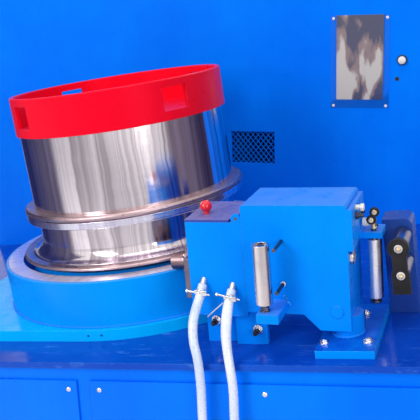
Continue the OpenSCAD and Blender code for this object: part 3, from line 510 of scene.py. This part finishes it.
class Pile:
    """Small parts gathered into one mesh, with places in millimetres of a placed frame."""

    def __init__(self, place):
        self.place = place
        self.bm = bmesh.new()

    def spot(self, at, way):
        turn = (self.place.to_3x3() @ Vector(way)).to_track_quat("Z", "Y").to_matrix().to_4x4()
        return Matrix.Translation(self.place @ (Vector(at) * MM)) @ turn

    def turn(self, at, way, profile, sides=32):
        """A turned part, or a prism with few sides, from its profile."""
        spot = self.spot(at, way)
        rings = []
        for r, h in profile:
            around = [math.tau * k / sides for k in range(sides if r else 1)]
            rings.append([self.bm.verts.new(spot @ (Vector((r * math.cos(a), r * math.sin(a), h)) * MM))
                          for a in around])
        for low, high in zip(rings, rings[1:]):
            for k in range(sides):
                n = (k + 1) % sides
                corners = (low[k % len(low)], low[n % len(low)], high[n % len(high)], high[k % len(high)])
                corners = list(dict.fromkeys(corners))
                if len(corners) > 2:
                    self.bm.faces.new(corners)
        if len(rings[0]) > 1:
            self.bm.faces.new(reversed(rings[0]))
        if len(rings[-1]) > 1:
            self.bm.faces.new(rings[-1])

    def stub(self, at, way, radius, low, high, narrow, rim, sides=32):
        """A washer, nut or rod from low to high. Its last rim is a chamfer that narrows the radius."""
        self.turn(at, way, [(radius, low), (radius, high - rim), (radius - narrow, high)], sides)

    def slab(self, low, high, bevel):
        """A block with broken edges between two corners."""
        made = bmesh.ops.create_cube(self.bm, size=1.0)["verts"]
        for v in made:
            corner = [lo if c < 0 else hi for c, lo, hi in zip(v.co, low, high)]
            v.co = self.place @ (Vector(corner) * MM)
        edges = list({e for v in made for e in v.link_edges})
        bmesh.ops.bevel(self.bm, geom=edges, offset=bevel * MM, segments=2, affect="EDGES", profile=0.6)

    def tube(self, path, radius, sides, across=UP, closed=False):
        """A tube through places. radius is a number or a function of the share of the way."""
        def radii(t):
            r = (radius(t) if callable(radius) else radius) * MM
            return r, r

        places = [self.place @ (Vector(p) * MM) for p in path]
        sweep(self.bm, places, radii, sides, self.place.to_3x3() @ Vector(across), closed)

    def bolt(self, at, way, head, height, washer=0):
        """A hexagon head with a low dome, on its washer if it has one."""
        base = WASHER_HEIGHT if washer else 0
        top = base + height
        if washer:
            self.stub(at, way, radius=washer, low=0, high=base, narrow=0.8, rim=0.7)
        self.stub(at, way, radius=head, low=base - SUNK, high=top, narrow=head * 0.12, rim=1.2, sides=HEXAGON)
        dome = [(head * 0.7, top - SUNK), (head * 0.62, top + 0.9), (head * 0.35, top + 1.9), (0, top + 2.2)]
        self.turn(at, way, dome, sides=24)

    def screw(self, at, way, r):
        """A low round screw head."""
        self.turn(at, way, [(r, 0), (r, 0.6), (r * 0.8, r * 0.32), (r * 0.45, r * 0.46), (0, r * 0.5)], 24)

    def ball(self, at, way, r):
        steps = [math.pi * k / BALL_ROWS for k in range(BALL_ROWS + 1)]
        profile = [(r * math.sin(a) if 0 < a < math.pi else 0, -r * math.cos(a)) for a in steps]
        self.turn(at, way, profile, sides=24)

    def weld(self, path, size, closed=False):
        """A hand-laid bead that swells a little at each dip."""
        count = len(path)

        def radius(t):
            dip = 0.5 * math.sin(t * count * 1.9)
            drift = 0.25 * math.sin(t * count * 0.7 + 1)
            return size + dip + drift

        self.tube(path, radius, sides=8, across=NEARLY_UP, closed=closed)

    def done(self, name, body, mat):
        bmesh.ops.recalc_face_normals(self.bm, faces=self.bm.faces)
        for face in self.bm.faces:
            face.smooth = True
        for edge in self.bm.edges:
            edge.smooth = len(edge.link_faces) == 2 and edge.calc_face_angle() < SHARP
        mesh = bpy.data.meshes.new(name)
        self.bm.to_mesh(mesh)
        self.bm.free()
        link(name, mesh, body, mat)


def circle(x, y, z, r, count):
    steps = [math.tau * k / count for k in range(count)]
    return [(x + r * math.cos(a), y + r * math.sin(a), z) for a in steps]


def row(start, step, count):
    """Places in a straight line, from the start on by equal steps."""
    return [tuple(s + k * d for s, d in zip(start, step)) for k in range(count)]


# Bolts of the post and the cradle

def foot_plate_bolts():
    corners = ((669, -494), (770, -488), (742, -321), (676, -321))
    pile = Pile(BED)
    for x, y in corners:
        pile.bolt((x, y, FOOT_PLATE_TOP), UP, head=10, height=6, washer=13)
    pile.done("foot_plate_bolts", "machine", bolt_steel)


def cradle_bolts():
    """Two long bolts: a bright washer and nut on each, and its dark end with a second nut."""
    spots = ((496, -460, 71), (383, -442, 83))
    end = [(6, 9), (6, 27), (5, 29), (0, 29.2)]
    rims = Pile(BOX)
    ends = Pile(BOX)
    for at in spots:
        rims.stub(at, FORWARD, radius=13, low=0, high=2.6, narrow=0.8, rim=0.8)
        rims.stub(at, FORWARD, radius=10, low=2.5, high=9.4, narrow=1.2, rim=1.4, sides=HEXAGON)
        ends.turn(at, FORWARD, end, sides=24)
        ends.stub(at, FORWARD, radius=8.4, low=9.2, high=17, narrow=0.8, rim=1, sides=HEXAGON)
    rims.done("cradle_washers", "machine", bolt_steel)
    ends.done("cradle_studs", "machine", black)


# Hose clamps

# A band is an ellipse square to the hose's way. Its depth is the (y, z) of the half axis away from the box
CLAMP_Y = -500
HOSE_WAY = (0, -0.76, -0.65)
BAND_WIDE = 12.4
BAND_DEEP = (-8.1, 9.4)
BAND_WIRE = 1.5


def hose_clamp(pile, middle, screw_left, screw_right):
    """Two wires round one hose, and the long screw across with its blocks. Places are (x, z) pairs."""
    x, z = middle
    y = CLAMP_Y
    steps = [math.tau * k / 28 for k in range(28)]
    upper = [(x + BAND_WIDE * math.cos(a), y + BAND_DEEP[0] * math.sin(a), z + BAND_DEEP[1] * math.sin(a))
             for a in steps]
    lower = [(px, py - 3.5, pz - 3.0) for px, py, pz in upper]
    pile.tube(upper, BAND_WIRE, sides=8, across=HOSE_WAY, closed=True)
    pile.tube(lower, BAND_WIRE, sides=8, across=HOSE_WAY, closed=True)
    way = Vector((screw_right[0] - screw_left[0], 0, screw_right[1] - screw_left[1])).normalized()
    screw = [(0, -5), (4.6, -4.6), (5.2, -3.4), (5.2, 0), (2.6, 0.4), (2.6, 44), (2.2, 56), (0, 56.2)]
    pile.turn((screw_left[0], y - 14, screw_left[1]), way, screw, sides=20)
    pile.slab((x + 2, y - 19, z - 5), (x + 20, y - 6, z + 8), bevel=1.4)
    pile.slab((x - 12, y - 17, z - 1), (x - 6, y - 7, z + 9), bevel=1.0)


def hose_clamps():
    """A clamp on each hose, and the loose tail of the right one."""
    pile = Pile(BOX)
    hose_clamp(pile, middle=(372.0, 182.0), screw_left=(343, 187), screw_right=(399, 178))
    hose_clamp(pile, middle=(445.4, 170.7), screw_left=(419, 181), screw_right=(471, 170))
    pile.done("hose_clamps", "machine", bolt_steel)
    tail = Pile(BOX)
    tail.tube([(386, -510, 120), (400, -511, 133), (416, -512, 147), (431, -513, 160)], 1.5, sides=10)
    tail.done("clamp_tail", "machine", cream)


# Fittings of the rollers and the wire guide

def roller_fittings():
    """A nut in the front roller's recess, one under it, the lower stud's ball, and the box's side boss."""
    x, y = (545, -548)
    boss_profile = [(19, 0), (19, 7.5), (17.4, 9.6), (11, 10), (10, 8.6), (0, 8.4)]
    pile = Pile(BOX)
    pile.stub((x, y, 313), UP, radius=8.4, low=0, high=5.8, narrow=1.0, rim=1.2, sides=HEXAGON)
    pile.stub((x, y, 160), UP, radius=12, low=0, high=2.4, narrow=1.0, rim=0.8)
    pile.stub((x, y, 162), UP, radius=10.5, low=0, high=8, narrow=1.3, rim=1.5, sides=HEXAGON)
    pile.done("roller_nuts", "machine", dark_steel)
    ball = Pile(BOX)
    ball.ball((575.5, -488, 204), FORWARD, 6.4)
    ball.done("stud_ball", "machine", cream)
    boss = Pile(BOX)
    boss.turn((BOX_RIGHT, -450, 264), RIGHT, boss_profile, sides=40)
    boss.done("side_boss", "machine", roller_steel)


def guide_discs():
    """Two small discs over the arm, with their stem and the pins that they sit on."""
    spots = ((768, -374, 328), (775, -366, 345))
    stem = [(9, 0), (9, 3), (6.5, 4), (6.5, 16), (8, 17), (8, 20)]
    pin = [(5, -16), (5, 0.5), (6.4, 1), (6.4, 2.2), (5.4, 3.2), (0, 3.4)]
    disc = [(11, -9), (11.6, -7.5), (11.6, -2), (10.6, -0.4), (7, 0), (7, 0.6), (0, 0.8)]
    stems = Pile(BOX)
    discs = Pile(BOX)
    stems.turn((772, -363, 306), UP, stem, sides=28)
    for at in spots:
        stems.turn(at, FORWARD, pin, sides=24)
        discs.turn(at, FORWARD, disc, sides=36)
    stems.done("guide_stems", "machine", brass)
    discs.done("guide_discs", "machine", black)


def side_plate_fittings():
    """A round bush, a stepped hexagon and two screws on the side plate."""
    round_bush = [(9, 0), (10.4, 1.2), (10.4, 12), (8.4, 13.2), (8.4, 20), (7.6, 21)]
    stepped = [(6, 0), (6, 12), (9, 12.4), (9, 19), (8, 20.4)]
    long_screw = [(9.5, 0), (9.5, 8), (8.4, 9), (5, 9.2), (5, 17), (4, 18)]
    bush = Pile(BOX)
    bush.turn((SIDE_PLATE + 4, -363, 321), RIGHT, round_bush)
    bush.turn((SIDE_PLATE, -430, 376), RIGHT, stepped, sides=HEXAGON)
    bush.done("guide_bush", "machine", cream)
    screws = Pile(BOX)
    screws.turn((SIDE_PLATE, -432, 357), RIGHT, long_screw, sides=HEXAGON)
    screws.bolt((SIDE_PLATE, -350, 345), RIGHT, head=8, height=5, washer=11)
    screws.done("side_screws", "machine", dark_steel)


def link_bolts():
    end = [(3.2, 7.4), (3.2, 10.4), (2.6, 11), (0, 11.2)]
    rims = Pile(BED)
    nuts = Pile(BED)
    for z in (209, 142):
        at = (846, -389, z)
        rims.stub(at, FORWARD, radius=10, low=0, high=2, narrow=0.6, rim=0.6)
        nuts.stub(at, FORWARD, radius=7, low=1.8, high=7.6, narrow=1.0, rim=1.2, sides=HEXAGON)
        nuts.turn(at, FORWARD, end, sides=20)
    rims.done("link_washers", "machine", cream)
    nuts.done("link_bolts", "machine", brass)


def nozzle_bolts():
    """Four nuts and stud ends round the nozzle, on its plate's left face."""
    face, y, z = (298, -346, 187)
    ring = 29
    pile = Pile(BED)
    for angle in (45, 135, 225, 315):
        a = math.radians(angle)
        at = (face, y + ring * math.cos(a), z + ring * math.sin(a))
        pile.stub(at, LEFT, radius=6.6, low=0, high=6.6, narrow=1.0, rim=1.2, sides=HEXAGON)
        pile.stub(at, LEFT, radius=3.2, low=6.4, high=10.6, narrow=0.6, rim=0.6, sides=16)
    pile.done("nozzle_bolts", "machine", nozzle_steel)


# Fittings of the wall, the bed and the drum

def wall_fittings():
    """The window's four screws, a plugged hole, and a push button in its ring."""
    sheet_face = WALL - 4
    button = (721, WALL, 655)
    plug = [(7, 0), (7, 0.8), (6, 1.0), (5.4, 0.3), (0, 0.3)]
    push = [(13, 3.6), (13, 12), (11.4, 15), (7, 17), (0, 17.6)]
    screws = Pile(PLAIN)
    for x in (494, 671):
        for z in (503, 794):
            screws.screw((x, sheet_face, z), FORWARD, r=5)
    screws.done("window_screws", "machine", cream)
    plugs = Pile(PLAIN)
    plugs.turn((706, WALL, 593), FORWARD, plug, sides=24)
    plugs.stub(button, FORWARD, radius=17, low=0, high=4.2, narrow=1.5, rim=1.2, sides=36)
    plugs.done("wall_plugs", "machine", black)
    cap = Pile(PLAIN)
    cap.turn(button, FORWARD, push)
    cap.done("wall_button", "machine", cream)


def cover_screws():
    """Screws along the lower edge and the sloping upper edge of the cover plates on the bed's front."""
    cover_ends = ((-900, 30), (70, 1000))
    margin = 25
    cover_face = BED_FRONT - 6
    lower = -565
    below_deck = 81
    pile = Pile(PLAIN)
    for left, right in cover_ends:
        for x in (left + margin, (left + right) / 2, right - margin):
            for z in (lower, x * math.tan(BED_SLOPE) - below_deck):
                pile.screw((x, cover_face, z), FORWARD, r=7)
    pile.done("cover_screws", "machine", bolt_steel)


def drum_bolts():
    """Bolts on the cap over the spindle."""
    pile = Pile(BED)
    for at in circle(x=0, y=0, z=584, r=70, count=6):
        pile.bolt(at, UP, head=9, height=6)
    pile.done("drum_bolts", "drum", dark_steel)


# Welds and paint

def welds():
    """Beads where the housing, the post, the cradle and the roller's bracket are welded on."""
    rounds = Pile(BED)
    rounds.weld(circle(x=0, y=0, z=33, r=432, count=260), size=3.4, closed=True)
    rounds.weld(circle(x=717, y=-432, z=21, r=36.5, count=60), size=3, closed=True)
    rounds.done("round_welds", "machine", blue)
    straight = Pile(BOX)
    straight.weld(row((530, BOX_FRONT - 1, 160), step=(2.5, 0, 0), count=21), size=2.4)
    straight.weld(row((BOX_RIGHT + 12.5, -379, 301), step=(0, 2.5, 0), count=27), size=2.2)
    straight.weld(row((346, BOX_FRONT - 0.2, 113.4), step=(3, 0, 0), count=44), size=1.6)
    straight.done("straight_welds", "machine", blue)


def paint_run():
    """A run of thicker paint on the box's front."""
    route = [(571, 168), (574, 172), (578, 171), (580, 165), (578, 160), (582, 156), (586, 152), (587, 147)]
    thin = 1.0
    swell = 1.4
    pile = Pile(BOX)
    pile.tube([(x, BOX_FRONT - 0.4, z) for x, z in route],
              lambda t: thin + swell * math.sin(math.pi * t) ** 2, sides=10)
    pile.done("paint_run", "machine", pale_blue)


foot_plate_bolts()
cradle_bolts()
hose_clamps()
roller_fittings()
guide_discs()
side_plate_fittings()
link_bolts()
nozzle_bolts()
wall_fittings()
cover_screws()
drum_bolts()
welds()
paint_run()


# Hoses

ROUTES = {
    "hose_left": [
        (.312, -.588, .933), (.312, -.602, .921), (.312, -.616, .909), (.310, -.636, .890),
        (.309, -.654, .868), (.312, -.669, .845), (.318, -.681, .820), (.327, -.689, .794),
        (.333, -.695, .767), (.336, -.697, .736), (.337, -.697, .705), (.337, -.697, .675),
        (.337, -.697, .645), (.337, -.697, .612), (.337, -.697, .580)],
    "hose_right": [
        (.386, -.588, .926), (.386, -.602, .914), (.386, -.616, .902), (.388, -.636, .883),
        (.391, -.654, .861), (.395, -.669, .838), (.401, -.681, .813), (.407, -.689, .787),
        (.413, -.695, .760), (.417, -.697, .729), (.418, -.697, .700), (.418, -.697, .670),
        (.418, -.697, .640), (.418, -.697, .610), (.418, -.697, .580)],
}
HOSE_R = 0.011
HOSE_SIDES = 28
STEPS_BETWEEN = 6

# How far each hose is pressed flat, at what share of its way and over what share of it
SQUEEZE = {"hose_left": 0.06, "hose_right": 0.18}
SQUEEZE_AT = 0.25
SQUEEZE_SPAN = 0.13


def smooth_route(points):
    """A Catmull-Rom curve through the route's points."""
    ends = [2 * points[0] - points[1]] + points + [2 * points[-1] - points[-2]]
    made = []
    for a, b, c, d in zip(ends, ends[1:], ends[2:], ends[3:]):
        for k in range(STEPS_BETWEEN):
            t = k / STEPS_BETWEEN
            made.append(0.5 * (2 * b + (c - a) * t + (2 * a - 5 * b + 4 * c - d) * t * t
                               + (3 * b - a - 3 * c + d) * t ** 3))
    return made + [points[-1]]


def make_hose(name, route):
    """A soft hose that is squeezed a little flat under its clamp."""
    path = smooth_route([Vector(p) for p in route])
    flat = SQUEEZE[name]

    def radii(t):
        press = flat * math.exp(-((t - SQUEEZE_AT) / SQUEEZE_SPAN) ** 2)
        return HOSE_R * (1 - press), HOSE_R * (1 + press)

    bm = bmesh.new()
    sweep(bm, path, radii, HOSE_SIDES, across=Vector(RIGHT))
    bmesh.ops.recalc_face_normals(bm, faces=bm.faces)
    for face in bm.faces:
        face.smooth = len(face.verts) == 4
    mesh = bpy.data.meshes.new(name + "_milky")
    bm.to_mesh(mesh)
    bm.free()
    hose = link(name + "_milky", mesh, "machine", rubber)
    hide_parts(name)


for name, route in ROUTES.items():
    make_hose(name, route)


# Floor and light

def make_floor():
    bpy.ops.mesh.primitive_plane_add(size=24, location=(0, 0, 0))
    floor = bpy.context.object
    floor.name = "floor"
    s = Shade("floor_pale", Roughness=0.6)
    cloud = s.noise(s.coords(), scale=3.0, detail=4.0, rough=0.5)
    dress(floor, s.finish(s.mix(cloud, rgb(0.78, 0.77, 0.78), rgb(0.83, 0.82, 0.83))))


def make_world():
    """A pale background that metal and glass show as the eye sees it; it lights the machine less."""
    lighting = rgb(0.60, 0.60, 0.66)
    seen = rgb(0.86, 0.84, 0.87)
    world = bpy.data.worlds.new("studio")
    bpy.context.scene.world = world
    world.use_nodes = True
    tree = world.node_tree
    rays = tree.nodes.new("ShaderNodeLightPath")
    shown = rays.outputs["Is Camera Ray"]
    for kind in ("Is Glossy Ray", "Is Transmission Ray"):
        most = tree.nodes.new("ShaderNodeMath")
        most.operation = "MAXIMUM"
        tree.links.new(shown, most.inputs[0])
        tree.links.new(rays.outputs[kind], most.inputs[1])
        shown = most.outputs[0]
    mix = tree.nodes.new("ShaderNodeMix")
    mix.data_type = "RGBA"
    tree.links.new(shown, mix.inputs[MIX_FACTOR])
    mix.inputs[MIX_A].default_value = lighting
    mix.inputs[MIX_B].default_value = seen
    tree.links.new(mix.outputs[MIX_RESULT], tree.nodes["Background"].inputs["Color"])
    tree.nodes["Background"].inputs["Strength"].default_value = 1.0


def flag(name, x, front, back, near, far):
    """A dark studio card beside the machine, soft at its ends. Only what is polished shows it."""
    top = 2.4
    mesh = bpy.data.meshes.new(name)
    mesh.from_pydata([(x, front, 0), (x, back, 0), (x, back, top), (x, front, top)], [], [(0, 1, 2, 3)])
    card = bpy.data.objects.new(name, mesh)
    bpy.context.scene.collection.objects.link(card)
    s = Shade(name, Roughness=0.9)
    along = s.spread(s.split(s.coords())["Y"], low=front, high=back)
    shown = s.times(s.spread(along, low=0.0, high=0.16), s.spread(along, low=1.0, high=0.9))
    dress(card, s.finish(s.mix(s.spread(along, low=0.30, high=0.62), near, far), alpha=shown))
    card.visible_camera = False
    card.visible_diffuse = False
    card.visible_shadow = False


def area_light(name, place, aim, size, power, colour=(1, 1, 1)):
    """A rectangular lamp that looks from its place at the aim. size is its width and height."""
    light = bpy.data.lights.new(name, "AREA")
    light.shape = "RECTANGLE"
    light.size, light.size_y = size
    light.energy = power
    light.color = colour
    obj = bpy.data.objects.new(name, light)
    bpy.context.scene.collection.objects.link(obj)
    obj.location = place
    obj.rotation_mode = "QUATERNION"
    obj.rotation_quaternion = (Vector(place) - Vector(aim)).to_track_quat("Z", "Y")


make_floor()
make_world()
flag("left_flag", x=-2.0, front=-1.75, back=1.6, near=rgb(0.13, 0.12, 0.19), far=rgb(0.01, 0.02, 0.13))
flag("right_flag", x=2.2, front=-1.20, back=1.9, near=rgb(0.20, 0.16, 0.20), far=rgb(0.04, 0.03, 0.09))
area_light("key", place=(-1.5, -3.3, 2.7), aim=(0.2, -0.2, 0.9), size=(1.1, 2.0), power=68)
area_light("fill", place=(2.8, -3.0, 2.0), aim=(0.2, 0.0, 0.9), size=(1.2, 1.2), power=30)
area_light("top", place=(0.0, -0.9, 4.2), aim=(0, -0.1, 0.8), size=(2.0, 2.0), power=26,
           colour=(1.0, 0.95, 1.0))
area_light("rim", place=(0.2, 3.2, 3.2), aim=(0, 0, 0.9), size=(1.6, 1.6), power=30)

bpy.context.scene.view_settings.view_transform = "Standard"
